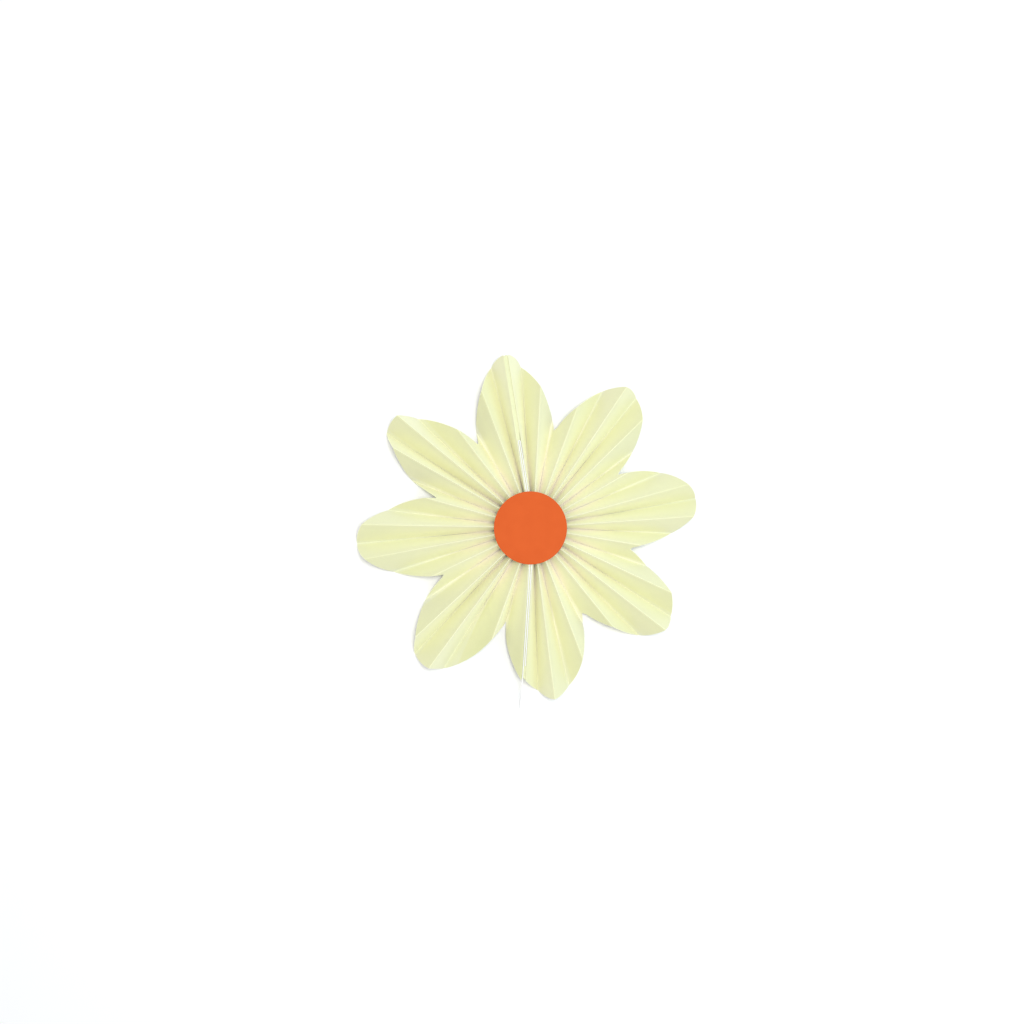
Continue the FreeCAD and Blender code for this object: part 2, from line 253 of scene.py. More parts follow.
def two_tones(tree, shader, pattern, low, high, shade, light):
    """Lets a pattern move a shader's colour between two close tones."""
    colour = mixed(tree, map_range(tree, pattern, low, high), shade, light)
    fill(tree, shader.inputs["Base Color"], colour)


def bump(tree, shader, height, distance, strength=1.0):
    """Fine relief of a given height in metres, on top of any relief already there."""
    inputs = {"Height": height, "Distance": distance, "Strength": strength}
    node = add_node(tree, "ShaderNodeBump", inputs)
    before = shader.inputs["Normal"].links
    if before:
        tree.links.new(before[0].from_socket, node.inputs["Normal"])
    tree.links.new(node.outputs[0], shader.inputs["Normal"])


def named(tree, name):
    """A number that the mesh carries under a name."""
    return add_node(tree, "ShaderNodeAttribute", attribute_name=name).outputs["Fac"]


print("finish helpers ready")

# %% [markdown]
# ## The string's finish
# The string is a thin white cotton twine. Its colour is a slightly warm white that a
# fine fibre noise breaks up, and the same noise raises the fibres.

# %% String finish
cotton_shade, cotton_light = (0.90, 0.89, 0.88, 1), (0.95, 0.945, 0.935, 1)
string_finish, tree, shader, where = new_finish(
    "string_cotton", 0.85, Sheen_Weight=0.25, Sheen_Roughness=0.5)
fibres = noise(tree, where, scale=5200, detail=4, roughness=0.6)
two_tones(tree, shader, fibres, 0.3, 0.7, cotton_shade, cotton_light)
bump(tree, shader, fibres, distance=0.05 * MM)
print("string finish", string_finish.name)

# %% [markdown]
# ## Laying up a string
# A twine is several thin plies that turn round each other. A tree makes that from any
# line: it is sampled evenly, copied once for each ply, and each copy is pushed off the
# line in a direction that turns as it goes. The plies then get a round section. The
# tree works for the free tails, the loop and the tie, so the twist is the same on all.

# %% String tree
ply_sides = 7


def make_string_tree():
    """A tree that lays up plies along the edges of a mesh."""
    sizes = {"Plies": "Int", "Finish": "Material", **dict.fromkeys(
        ("String radius", "Ply radius", "Lay length", "Step"), "Float")}
    tree, given, result = new_geometry_tree("lay_up_string", sizes)
    line = add_node(tree, "GeometryNodeMeshToCurve", {"Mesh": given["Geometry"]})
    line = add_node(tree, "GeometryNodeResampleCurve", {
        "Curve": line.outputs[0], "Length": given["Step"]}, mode="LENGTH")
    plies = add_node(tree, "GeometryNodeDuplicateElements", {
        "Geometry": line.outputs[0], "Amount": given["Plies"]}, domain="SPLINE")
    along = add_node(tree, "GeometryNodeSplineParameter").outputs["Length"]
    turns = plus(tree, over(tree, along, given["Lay length"]),
                 over(tree, plies.outputs["Duplicate Index"], given["Plies"]))
    angle = times(tree, turns, math.tau)
    normal = tree.nodes.new("GeometryNodeInputNormal").outputs[0]
    tangent = tree.nodes.new("GeometryNodeInputTangent").outputs[0]
    side = vector_calc(tree, "CROSS_PRODUCT", tangent, normal)
    out = vector_calc(tree, "ADD", scaled(tree, normal, calc(tree, "COSINE", angle)),
                      scaled(tree, side, calc(tree, "SINE", angle)))
    offset = scaled(tree, out, minus(tree, given["String radius"], given["Ply radius"]))
    moved = add_node(tree, "GeometryNodeSetPosition", {
        "Geometry": plies.outputs[0], "Offset": offset})
    ring = add_node(tree, "GeometryNodeCurvePrimitiveCircle", {
        "Resolution": ply_sides, "Radius": given["Ply radius"]})
    tube = add_node(tree, "GeometryNodeCurveToMesh", {
        "Curve": moved.outputs[0], "Profile Curve": ring.outputs[0], "Fill Caps": True})
    end_tree(tree, tube.outputs[0], given, result)
    return tree


string_tree = make_string_tree()
print("string tree with", len(string_tree.nodes), "nodes")


# %% String sizes and laying up a line
string_diameter = 0.8 * MM
string_sizes = {"Plies": 3, "String radius": string_diameter / 2, "Ply radius": 0.215 * MM,
                "Lay length": 2.6 * MM, "Step": 0.2 * MM, "Finish": string_finish}


def lay_up(points, name, closed=False):
    """A string of plies that follows a list of points."""
    count = len(points)
    edges = [(i, i + 1) for i in range(count - 1)] + ([(count - 1, 0)] if closed else [])
    carrier = add_object(mesh_from(points, edges, [], name), name + "_line")
    run_tree(carrier, string_tree, string_sizes)
    return settle(carrier, name)


print("a string of", string_sizes["Plies"], "plies,", round(string_diameter / MM, 1), "mm thick")

# %% [markdown]
# ## The free ends of the string
# Both ends of the tying string come out of the knot at the bottom and lie side by side
# in the seam. One ends in the seam, and the other runs on over the rim and down to the
# table. At the top the string is doubled into a loop for hanging. Each is one smooth
# line: a NURBS spline whose control points lie where the CAD route has its points, with
# one more near a corner that ends a long straight stretch. The order and the end rule
# are set after the points, because setting them first is lost.

# %% String lines
def smooth_line(route, name):
    """Points along the smooth spline through a route's control points."""
    curve = bpy.data.curves.new(name, "CURVE")
    curve.dimensions = "3D"
    spline = curve.splines.new("NURBS")
    spline.points.add(len(route) - 1)
    for point, place in zip(spline.points, route):
        point.co = (*[c * MM for c in place], 1)
    spline.order_u = 3
    spline.use_endpoint_u = True
    spline.resolution_u = 16
    mesh = evaluated_mesh(add_object(curve, name + "_spline"))
    points = [vertex.co.copy() for vertex in mesh.vertices]
    bpy.data.meshes.remove(mesh)
    return points


def free_string(node, route):
    """A laid up string in place of a CAD cord."""
    points = smooth_line(route, node)
    piece = lay_up(points, node + "_twine")
    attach(piece, "root")
    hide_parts(node)


# %% Long tail, short tail and loop
long_tail_route = [
    (3.70, -8.59, 19.89), (2.55, -22.29, 21.19), (1.71, -36.05, 20.50),
    (-1.88, -94.46, 17.60), (-2.64, -106.01, 17.02), (-3.51, -117.58, 16.62),
    (-4.04, -122.96, 13.32), (-4.45, -127.94, 7.32), (-4.94, -134.33, 0.40),
    (-5.53, -140.70, 0.40), (-6.01, -146.88, 0.40),
]
short_tail_route = [
    (5.03, -8.73, 19.89), (3.88, -22.39, 21.19), (3.04, -36.15, 20.50), (-0.94, -101.24, 17.26),
]
loop_route = [
    (4.92, 7.12, 19.84), (1.79, 21.45, 21.41), (-0.52, 35.97, 21.02), (-4.54, 61.35, 20.33),
    (-4.78, 62.93, 20.30), (-6.12, 62.73, 20.30),
    (-5.88, 61.16, 20.33), (-1.86, 35.78, 21.02), (0.45, 21.25, 21.41), (3.60, 6.84, 19.84),
]
free_string("string_tail_long", long_tail_route)
free_string("string_tail_short", short_tail_route)
free_string("hanging_loop", loop_route)

# %% [markdown]
# ## The tie and its knots
# Two turns of the same string go round the pressed pleats. At the bottom they end in a
# knot of three wraps, and at the top the loop is held by a hitch of two. They are made
# with the same tree, from a rounded path for each turn and a helix for the wraps.

# %% Turns round the waist
tie_low, tie_high, tie_half = 1.70 * MM, 20.20 * MM, 5.3 * MM
tie_corner = 0.9 * MM
corner_steps = 6
strand_offset = 0.8 * MM


def tie_turn(shift):
    """The points of one turn, with round corners."""
    points = []
    corners = ((1, 1, 0), (-1, 1, 90), (-1, -1, 180), (1, -1, 270))
    for side, level, start in corners:
        y = side * (tie_half - tie_corner)
        z = (tie_high - tie_corner) if level > 0 else (tie_low + tie_corner)
        for step in range(corner_steps + 1):
            angle = math.radians(start + 90 * step / corner_steps)
            round_y, round_z = tie_corner * math.cos(angle), tie_corner * math.sin(angle)
            points.append(hub + Vector((shift, y + round_y, z + round_z)))
    return points


tie_pieces = [lay_up(tie_turn(shift), "tie_turn", closed=True)
              for shift in (-strand_offset, strand_offset)]
print("two turns of", len(tie_pieces[0].data.polygons), "faces")


# %% Wrapped knots
wrap_radius, wrap_margin, steps_per_wrap = 0.93 * MM, 0.42 * MM, 14
held_offset = 0.45 * MM
strand_lead, strand_in, strand_out = 0.6 * MM, 0.4 * MM, 0.5 * MM


def wrapped_knot(start, along, length, wraps):
    """The helix of a knot's wraps, and the two strands that it holds."""
    along = along.normalized()
    left = Vector((-along.y, along.x, 0)).normalized()
    down = left.cross(along)
    count = steps_per_wrap * wraps
    helix = []
    for step in range(count + 1):
        angle = math.tau * wraps * step / count
        place = start + along * (wrap_margin + (length - 2 * wrap_margin) * step / count)
        helix.append(place + (left * math.cos(angle) + down * math.sin(angle)) * wrap_radius)
    strands = []
    for side in (-1, 1):
        apart, held = left * side * strand_offset, left * side * held_offset
        strands.append([
            start - along * strand_lead + apart, start + along * strand_in + held,
            start + along * (length - strand_out) + held, start + along * length + apart])
    return [helix] + strands


knot_start, knot_along = Vector((4.60, -5.88, 19.63)) * MM, Vector((-0.0835, -0.9921, 0.0938))
hitch_start, hitch_along = Vector((4.66, 5.13, 19.64)) * MM, Vector((-0.2125, 0.9714, 0.1061))
knots = wrapped_knot(knot_start, knot_along, 2.8 * MM, wraps=3)
knots += wrapped_knot(hitch_start, hitch_along, 1.9 * MM, wraps=2)
tie_pieces += [lay_up(line, "knot_part") for line in knots]
print("a knot and a hitch of", len(knots), "lines")


# %% Join the tie
def join_pieces(pieces, name):
    """Several objects at the origin made one."""
    target = pieces[0]
    with bpy.context.temp_override(active_object=target, object=target,
                                   selected_editable_objects=pieces, selected_objects=pieces):
        bpy.ops.object.join()
    target.name = name
    target.data.name = name
    return target


waist_string = join_pieces(tie_pieces, "waist_string")
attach(waist_string, "root")
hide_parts("waist_tie")
print("tie and knots", len(waist_string.data.polygons), "faces")

# %% [markdown]
# ## Where the folds run
# The pleats were opened by hand, so no two are alike. The directions below are those of
# the ridges and the valleys, anticlockwise from the bottom seam. Every panel is a fixed
# width of paper, so where a pleat is opened wide its ridge comes down. Each fold is a
# line of four points: under the tie, at the waist, at the shoulder and at the rim.

# %% Sizes of the sheet
paper_thickness = 0.25
panel_width = 22.0
fold_count = 52
folds_per_petal = 6.5
first_tip_fold = 2
tip_radius, notch_radius, petal_roundness = 126.7, 71.6, 0.85
tie_off_centre = 4.0
waist_radius, shoulder_radius = 6.0, 22.0
waist_pinch, waist_step = 1.8, 0.4
under_tie_half, under_tie_step = 4.55, 0.3
ridge_lift, valley_drop = 0.6 * paper_thickness, 0.45 * paper_thickness
seam_half_gap = 1.5
floor_shift = -0.05
top_seam_fold = 28

ridge_directions = [
    266.5, 277.3, 290.8, 309.0, 322.3, 334.8, 350.7, 364.0, 375.5, 390.0, 404.5, 416.3, 429.7,
    446.8, 459.0, 470.6, 487.5, 500.4, 510.3, 524.5, 539.0, 550.6, 565.8, 583.0, 593.5, 610.0,
]
valley_directions = [
    272.0, 283.0, 297.5, 314.6, 327.2, 341.3, 357.6, 370.0, 383.0, 397.0, 411.3, 422.8, 439.5,
    454.2, 464.5, 480.8, 496.6, 507.2, 518.8, 533.3, 545.3, 557.8, 574.0, 587.0, 597.8, 614.0,
]
crease_shifts = {4: 0.12, 11: 0.15, 26: -0.12, 27: -0.2, 32: -0.2,
                 49: -0.55, 50: 0.32, 51: -0.3, 52: 0.32}
print(fold_count, "folds,", len(ridge_directions), "of them ridges")


# %% Rules of the fold lines
def fold_direction(fold):
    """A fold's direction in degrees. Even folds are ridges, and the count goes round on."""
    turn, place = divmod(fold, fold_count)
    directions = valley_directions if fold % 2 else ridge_directions
    return directions[place // 2] + 360.0 * turn


def pattern_place(fold):
    """Where a fold lies on the die cut pattern. Some creases missed their even place."""
    return fold + crease_shifts.get(fold % fold_count or fold_count, 0.0)


def tip_reach(fold):
    """How far a petal's tip would reach at a fold, as the tie is a little off the centre."""
    return tip_radius - tie_off_centre * math.cos(math.radians(fold_direction(fold)))


def rim_radius(fold):
    """How far the die cut rim is out at a fold."""
    offset = (pattern_place(fold) - first_tip_fold) / folds_per_petal
    from_tip = abs(offset - round(offset)) * 2
    lift = math.cos(from_tip * math.pi / 2) ** petal_roundness
    return notch_radius + (tip_reach(fold) - notch_radius) * lift


def ridge_height(fold, radius):
    """A ridge's height, from the panels' fixed width and the gaps they are opened to."""
    gaps = []
    for neighbour in (fold - 1, fold + 1):
        opened = abs(fold_direction(neighbour) - fold_direction(fold))
        reach = min(radius, rim_radius(neighbour))
        gaps.append(2 * reach * math.sin(math.radians(opened) / 2))
    mean_square = sum(gap * gap for gap in gaps) / len(gaps)
    return math.sqrt(max(panel_width ** 2 - mean_square, (panel_width / 2) ** 2))


seam_rim, first_tip_rim = rim_radius(0), rim_radius(first_tip_fold)
print("rim at the seam", round(seam_rim, 1), "mm, at the first tip", round(first_tip_rim, 1), "mm")


# %% The four points of a fold
def fold_points(fold, first, last):
    """Under the tie, at the waist, at the shoulder and at the rim, in metres."""
    middle = 0.0 if first == 0 else 180.0
    share = (fold - first) / (last - first)
    room = math.degrees(math.asin(seam_half_gap / waist_radius))
    around = (90.0 - room) * (2 * share - 1)
    ridge = fold % 2 == 0
    off_line = ridge_lift if ridge else -valley_drop
    inner_y = under_tie_half * (2 * share - 1) * (1 if first == 0 else -1)
    low = waist_pinch + waist_step + under_tie_step
    high = panel_width - low
    points = [hub + Vector((0, inner_y, (high if ridge else low) + floor_shift)) * MM]
    for number, radius in enumerate((waist_radius, shoulder_radius, rim_radius(fold))):
        direction = fold_direction(fold)
        if fold in (first, last):
            aside = math.degrees(math.asin(seam_half_gap / radius))
            direction += aside if fold == first else -aside
        height = ridge_height(fold, radius) if ridge else paper_thickness
        if number == 0:
            direction = middle + around
            height += -waist_pinch if ridge else waist_pinch
        angle = math.radians(direction)
        level = height + off_line + floor_shift
        spot = Vector((radius * math.cos(angle), radius * math.sin(angle), level))
        points.append(hub + spot * MM)
    return points


first_fold = fold_points(0, 0, top_seam_fold)
print("first fold", [[round(c / MM, 1) for c in point] for point in first_fold])

# %% [markdown]
# ## Folding the sheet
# The sheet follows a rule, so a tree makes it. It starts from a flat grid, as the real
# one starts flat. Each point of the grid knows which panel it is in, how far across and
# how far out. It looks up the fold lines on both sides of its panel and moves between
# them. The die cut rim, the soft bend at each crease, a slight curl of each panel and a
# stray crease where a panel was once folded are added on the way, and a few numbers are
# stored on the mesh for the paper's finish.

# %% Folding tree, inputs and place on the grid
column_crowding = 0.88


def grid_of_panels():
    """The tree with its inputs and flat grid, and each point's panel and place in it."""
    whole = ("Panels", "Across", "Along", "Seed")
    measured = ("Waist row", "Shoulder row", "Shoulder radius", "Notch radius", "Petal roundness",
                "Folds per petal", "First tip", "Crease radius", "Curl", "Ripple")
    sizes = {"Finish": "Material", **dict.fromkeys(whole, "Int"),
             **dict.fromkeys(measured, "Float")}
    tree, given, result = new_geometry_tree("fold_the_sheet", sizes)
    rows = plus(tree, given["Along"], 1)
    columns = plus(tree, times(tree, given["Panels"], given["Across"]), 1)
    grid = add_node(tree, "GeometryNodeMeshGrid", {"Vertices X": columns, "Vertices Y": rows})
    index = tree.nodes.new("GeometryNodeInputIndex").outputs[0]
    column = calc(tree, "FLOOR", over(tree, plus(tree, index, 0.5), rows))
    row = minus(tree, index, times(tree, column, rows))
    last_panel = minus(tree, given["Panels"], 1)
    column_centre = plus(tree, column, 0.5)
    passed = calc(tree, "FLOOR", over(tree, column_centre, given["Across"]))
    panel = calc(tree, "MINIMUM", passed, last_panel)
    even_share = minus(tree, over(tree, column, given["Across"]), panel)
    wave = calc(tree, "SINE", times(tree, even_share, math.tau))
    crowding = times(tree, wave, column_crowding / math.tau)
    share = minus(tree, even_share, crowding)
    out = over(tree, row, given["Along"])
    return tree, given, result, grid.outputs[0], panel, share, out


print("columns crowd towards the creases by", column_crowding)


# %% Folding tree, the lines on both sides
points_per_fold = 4


def look_up(tree, lines, index, name=None):
    """A fold line point's position, or a number stored on it."""
    if name is None:
        kind, source = "FLOAT_VECTOR", add_node(tree, "GeometryNodeInputPosition")
    else:
        kind = "FLOAT"
        source = add_node(tree, "GeometryNodeInputNamedAttribute", {"Name": name}, data_type=kind)
    inputs = {"Geometry": lines, "Value": source.outputs[0], "Index": index}
    return add_node(tree, "GeometryNodeSampleIndex", inputs,
                    data_type=kind, domain="POINT").outputs[0]


def between(tree, first, second, share):
    """A number that is a share of the way from one to another."""
    return calc(tree, "MULTIPLY_ADD", minus(tree, second, first), share, first)


def point_on_fold(tree, lines, fold, steps):
    """The place on one fold's line, from how much of each of its three runs is passed."""
    base = times(tree, fold, points_per_fold)
    stations = [look_up(tree, lines, plus(tree, base, i)) for i in range(points_per_fold)]
    place = stations[0]
    for start, end, passed in zip(stations, stations[1:], steps):
        run = vector_calc(tree, "SUBTRACT", end, start)
        place = vector_calc(tree, "ADD", place, scaled(tree, run, passed))
    return place, vector_calc(tree, "SUBTRACT", stations[-1], stations[-2])


print("each fold is a line of", points_per_fold, "points")


# %% Folding tree, the rim and the place between the lines
def rim_at(tree, given, lines, ends, share):
    """The die cut rim's radius at a point's place on the pattern."""
    tip = between(tree, *[look_up(tree, lines, end, "tip") for end in ends], share)
    place = between(tree, *[look_up(tree, lines, end, "place") for end in ends], share)
    from_first = minus(tree, place, given["First tip"])
    petals = over(tree, from_first, given["Folds per petal"])
    from_tip = calc(tree, "ABSOLUTE", minus(tree, petals, calc(tree, "ROUND", petals)))
    arch = calc(tree, "COSINE", times(tree, from_tip, math.pi))
    lift = calc(tree, "POWER", calc(tree, "MAXIMUM", arch, 0), given["Petal roundness"])
    return between(tree, given["Notch radius"], tip, lift)


def place_on_panel(tree, given, panel, share, out):
    """A point's place on the plain panel between its two folds, and its distances."""
    lines = given["Geometry"]
    folds = [panel, plus(tree, panel, 1)]
    ends = [calc(tree, "MULTIPLY_ADD", fold, points_per_fold, points_per_fold - 1)
            for fold in folds]
    rims = [look_up(tree, lines, end, "rim") for end in ends]
    rim = rim_at(tree, given, lines, ends, share)
    inner = map_range(tree, out, 0.0, given["Waist row"])
    middle = map_range(tree, out, given["Waist row"], given["Shoulder row"])
    outer = map_range(tree, out, given["Shoulder row"], 1.0)
    beyond = times(tree, outer, minus(tree, rim, given["Shoulder radius"]))
    reach = plus(tree, given["Shoulder radius"], beyond)
    sides = []
    for fold, own_rim in zip(folds, rims):
        passed = over(tree, beyond, minus(tree, own_rim, given["Shoulder radius"]))
        sides.append(point_on_fold(tree, lines, fold, (inner, middle, passed)))
    (left, left_run), (right, right_run) = sides
    across = vector_calc(tree, "SUBTRACT", right, left)
    spot = vector_calc(tree, "ADD", left, scaled(tree, across, share))
    run = vector_calc(tree, "ADD", left_run, right_run)
    normal = vector_calc(tree, "NORMALIZE", vector_calc(tree, "CROSS_PRODUCT", run, across))
    return spot, across, normal, rim, reach, outer


print("rim and panels ready")


# %% Folding tree, creases and curl
def round_crease(tree, given, panel, share, across):
    """How far a point moves up or down at a rounded crease, and how far the ridge is."""
    width = vector_calc(tree, "LENGTH", across)
    rounds = []
    for part in (share, minus(tree, 1.0, share)):
        gone = times(tree, width, part)
        radius_square = calc(tree, "POWER", given["Crease radius"], 2)
        square = calc(tree, "MULTIPLY_ADD", gone, gone, radius_square)
        rounds.append((gone, minus(tree, calc(tree, "SQRT", square), gone)))
    odd = calc(tree, "MODULO", panel, 2)
    sign = calc(tree, "MULTIPLY_ADD", odd, -2, 1)
    rise = times(tree, sign, minus(tree, rounds[1][1], rounds[0][1]))
    return rise, between(tree, rounds[0][0], rounds[1][0], odd)


ripples_per_metre, ripple_row_step = 38, 7.3
curl_bias = 0.4
stray_fade = (42 * MM, 62 * MM)


def soft_curl(tree, given, panel, share, reach, outer):
    """How far a panel's soft curl and ripple lift a point off it."""
    belly = calc(tree, "SINE", times(tree, share, math.pi))
    chance = add_node(tree, "FunctionNodeRandomValue", {"ID": panel, "Seed": given["Seed"]},
                      data_type="FLOAT").outputs[1]
    lean = times(tree, minus(tree, chance, curl_bias), given["Curl"])
    where = add_node(tree, "ShaderNodeCombineXYZ", {
        "X": times(tree, reach, ripples_per_metre),
        "Y": times(tree, panel, ripple_row_step), "Z": share})
    cloud = add_node(tree, "ShaderNodeTexNoise", {
        "Vector": where.outputs[0], "Scale": 1.0, "Detail": 1.0}).outputs[0]
    ripple = times(tree, minus(tree, cloud, 0.5), given["Ripple"])
    lift = times(tree, plus(tree, lean, ripple), belly)
    return times(tree, lift, outer)


def stray_crease(tree, given, panel, share, reach):
    """How far a panel that was pulled flat still stands up along its old crease."""
    start = times(tree, panel, points_per_fold)
    peak, end, height = [look_up(tree, given["Geometry"], start, name)
                         for name in ("stray_peak", "stray_end", "stray_height")]
    up = map_range(tree, share, 0.0, peak)
    down = map_range(tree, share, peak, end, 1.0, 0.0)
    lift = times(tree, calc(tree, "MINIMUM", up, down), height)
    return times(tree, lift, map_range(tree, reach, *stray_fade, smooth=True))


print("creases and curl ready; stray creases start", round(stray_fade[0] / MM), "mm out")


# %% Folding tree, position, marks for the finish and output
def build_folding_tree():
    """The whole tree: a flat grid goes in place between the fold lines."""
    tree, given, result, grid, panel, share, out = grid_of_panels()
    spot, across, normal, rim, reach, outer = place_on_panel(tree, given, panel, share, out)
    rise, ridge_gap = round_crease(tree, given, panel, share, across)
    curl = soft_curl(tree, given, panel, share, reach, outer)
    off = plus(tree, curl, stray_crease(tree, given, panel, share, reach))
    lifted = add_node(tree, "ShaderNodeCombineXYZ", {"Z": rise}).outputs[0]
    spot = vector_calc(tree, "ADD", spot, lifted)
    spot = vector_calc(tree, "ADD", spot, scaled(tree, normal, off))
    level = vector_calc(tree, "DOT_PRODUCT", normal, (0, 0, 1))
    marks = {"ridge_gap": ridge_gap, "reach": reach, "to_rim": minus(tree, rim, reach),
             "openness": calc(tree, "ABSOLUTE", level)}
    geometry = grid
    for name, value in marks.items():
        inputs = {"Geometry": geometry, "Name": name, "Value": value}
        geometry = add_node(tree, "GeometryNodeStoreNamedAttribute", inputs,
                            data_type="FLOAT", domain="POINT").outputs[0]
    folded = add_node(tree, "GeometryNodeSetPosition", {"Geometry": geometry, "Position": spot})
    end_tree(tree, folded.outputs[0], given, result)
    return tree


folding_tree = build_folding_tree()
print("folding tree with", len(folding_tree.nodes), "nodes")

# %% [markdown]
# ## The paper's finish
# The sheet is uncoated paper in a pale greenish cream. Paper of this kind is matt, with
# a fine fibre relief, a faint cloudy tone and a soft sheen. Its real grooves stay light,
# because light goes through the paper from one pleat to the next. A render that stops
# after a few bounces loses that light, so the steep panels get painted light: a paler
# colour from the stored openness. The valleys get painted shade, a warm grey near the
# disc, and each valley's crease gets painted light near the disc and at mid radius and a
# less yellow painted tone further out. The ridges near the disc get a painted highlight,
# and the cut edge shows the paler core of the paper. Each step below mixes one of these
# in over the ones before it.

# %% Paper colours
paper_shade, paper_light = (0.628, 0.642, 0.33, 1), (0.658, 0.672, 0.352, 1)
# Painted light: paler colours for steep panels, standing in for the light the grooves lose.
steep_painted_light, steep_painted_light_near_disc = (0.965, 0.955, 0.68, 1), (0.995, 0.985, 0.71, 1)
fibre_light = (0.95, 0.965, 0.78, 1)
# Painted shade: the colour of the valleys, a warm grey near the disc.
valley_painted_shade, valley_painted_warm_shade = (0.70, 0.69, 0.46, 1), (0.99, 0.915, 0.85, 1)
# Painted light along each valley's crease near the disc and at mid radius, and a less yellow
# painted tone further out.
painted_crease_light, painted_crease_tone_outer = (0.91, 0.89, 0.79, 1), (0.72, 0.73, 0.57, 1)
painted_crease_light_near_disc = (0.97, 0.93, 0.88, 1)
# Painted highlight on the ridges near the disc; the cut edge's paler core is the paper's own.
painted_ridge_highlight, cut_edge = (0.96, 0.97, 0.74, 1), (0.95, 0.96, 0.80, 1)
sheen_tint = (1.0, 0.99, 0.84, 1)
speck_share, valley_shade_share, warm_shade_share = 0.2, 0.45, 0.75
crease_share, ridge_highlight_share, edge_share = 0.55, 0.5, 0.6
print("open panels are", paper_light[:3], "and steep ones", steep_painted_light[:3])


# %% Paper finish
def paper_tone(tree, near_disc, where, fibres):
    """The sheet's own colour with light fibres in it, and painted light that makes it paler where
    it is steep.
    """
    cloud = noise(tree, where, scale=60, detail=3, roughness=0.55)
    own = mixed(tree, map_range(tree, cloud, 0.3, 0.7), paper_shade, paper_light)
    steep = map_range(tree, named(tree, "openness"), 0.15, 0.85, 1.0, 0.0)
    # Painted light: steep panels are made paler.
    pale = mixed(tree, near_disc, steep_painted_light, steep_painted_light_near_disc)
    speck = times(tree, map_range(tree, fibres, 0.55, 0.8), speck_share)
    return mixed(tree, speck, mixed(tree, steep, own, pale), fibre_light)


def painted_valley_light_and_shade(tree, near_disc, colour):
    """Painted shade in the valleys, warm near the disc, and painted light and tone on the creases
    at their bottom, mixed in.
    """
    from_ridge = named(tree, "ridge_gap")
    # Painted shade towards each valley, warm near the disc.
    valley = map_range(tree, from_ridge, 6 * MM, 20 * MM, smooth=True)
    away = calc(tree, "MULTIPLY_ADD", near_disc, -valley_shade_share, valley_shade_share)
    colour = mixed(tree, times(tree, valley, away), colour, valley_painted_shade)
    warm = times(tree, near_disc, warm_shade_share)
    colour = mixed(tree, times(tree, valley, warm), colour, valley_painted_warm_shade)
    # Painted light on the crease at each valley's bottom, and a less yellow painted tone further
    # out.
    crease = map_range(tree, from_ridge, 18.5 * MM, 21.2 * MM, smooth=True)
    outer = map_range(tree, named(tree, "reach"), 65 * MM, 105 * MM, smooth=True)
    painted_crease_colour = mixed(tree, outer, painted_crease_light, painted_crease_tone_outer)
    painted_crease_colour = mixed(tree, near_disc, painted_crease_colour, painted_crease_light_near_disc)
    return mixed(tree, times(tree, crease, crease_share), colour, painted_crease_colour)


def ridge_and_edge(tree, near_disc, colour):
    """A painted highlight on the ridges near the disc, and the cut edge's paler core, mixed in."""
    # Painted highlight along the ridges near the disc.
    ridge = map_range(tree, named(tree, "ridge_gap"), 0.0, 0.8 * MM, 1.0, 0.0)
    highlight_mix = times(tree, ridge, times(tree, near_disc, ridge_highlight_share))
    colour = mixed(tree, highlight_mix, colour, painted_ridge_highlight)
    edge = map_range(tree, named(tree, "to_rim"), 0.0, 0.5 * MM, edge_share, 0.0)
    return mixed(tree, edge, colour, cut_edge)


def make_paper_finish():
    """Matt greenish cream paper that follows the numbers stored on the mesh."""
    material, tree, shader, where = new_finish(
        "petal_paper", 0.82, Specular_IOR_Level=0.3, Sheen_Weight=0.4, Sheen_Roughness=0.6,
        Sheen_Tint=sheen_tint)
    fibres = noise(tree, where, scale=900, detail=5, roughness=0.65)
    near_disc = map_range(tree, named(tree, "reach"), 28 * MM, 66 * MM, 1.0, 0.0, smooth=True)
    colour = paper_tone(tree, near_disc, where, fibres)
    colour = painted_valley_light_and_shade(tree, near_disc, colour)
    fill(tree, shader.inputs["Base Color"], ridge_and_edge(tree, near_disc, colour))
    bump(tree, shader, fibres, distance=0.03 * MM, strength=0.8)
    cockle = noise(tree, where, scale=240, detail=3, roughness=0.5)
    bump(tree, shader, cockle, distance=0.06 * MM, strength=0.6)
    return material


paper_finish = make_paper_finish()
print("paper finish with", len(paper_finish.node_tree.nodes), "nodes")

# %% [markdown]
# ## Making the two halves
# Tied at its waist, the sheet opens into two half circles that meet at the seams. Each
# half is folded by the same tree. Its fold lines go in as loose points that carry the
# numbers of their fold. Two panels on the left were pulled flat and keep a stray crease.
# A Solidify modifier gives the paper its thickness, and both are applied together.

# %% The halves
# For each panel that was pulled flat: its old crease's peak and end across it, and the
# peak's height in millimetres.
stray_creases = {49: (0.27, 0.56, 1.1), 51: (0.35, 0.62, 0.6)}
no_crease = (0.5, 0.6, 0.0)
sheet_sizes = {"Across": 12, "Along": 48, "Waist row": 0.05, "Shoulder row": 0.15,
               "Shoulder radius": shoulder_radius * MM, "Notch radius": notch_radius * MM,
               "Petal roundness": petal_roundness, "Folds per petal": folds_per_petal,
               "First tip": first_tip_fold, "Crease radius": 0.28 * MM, "Curl": 0.9 * MM,
               "Ripple": 0.7 * MM, "Seed": 7, "Finish": paper_finish}


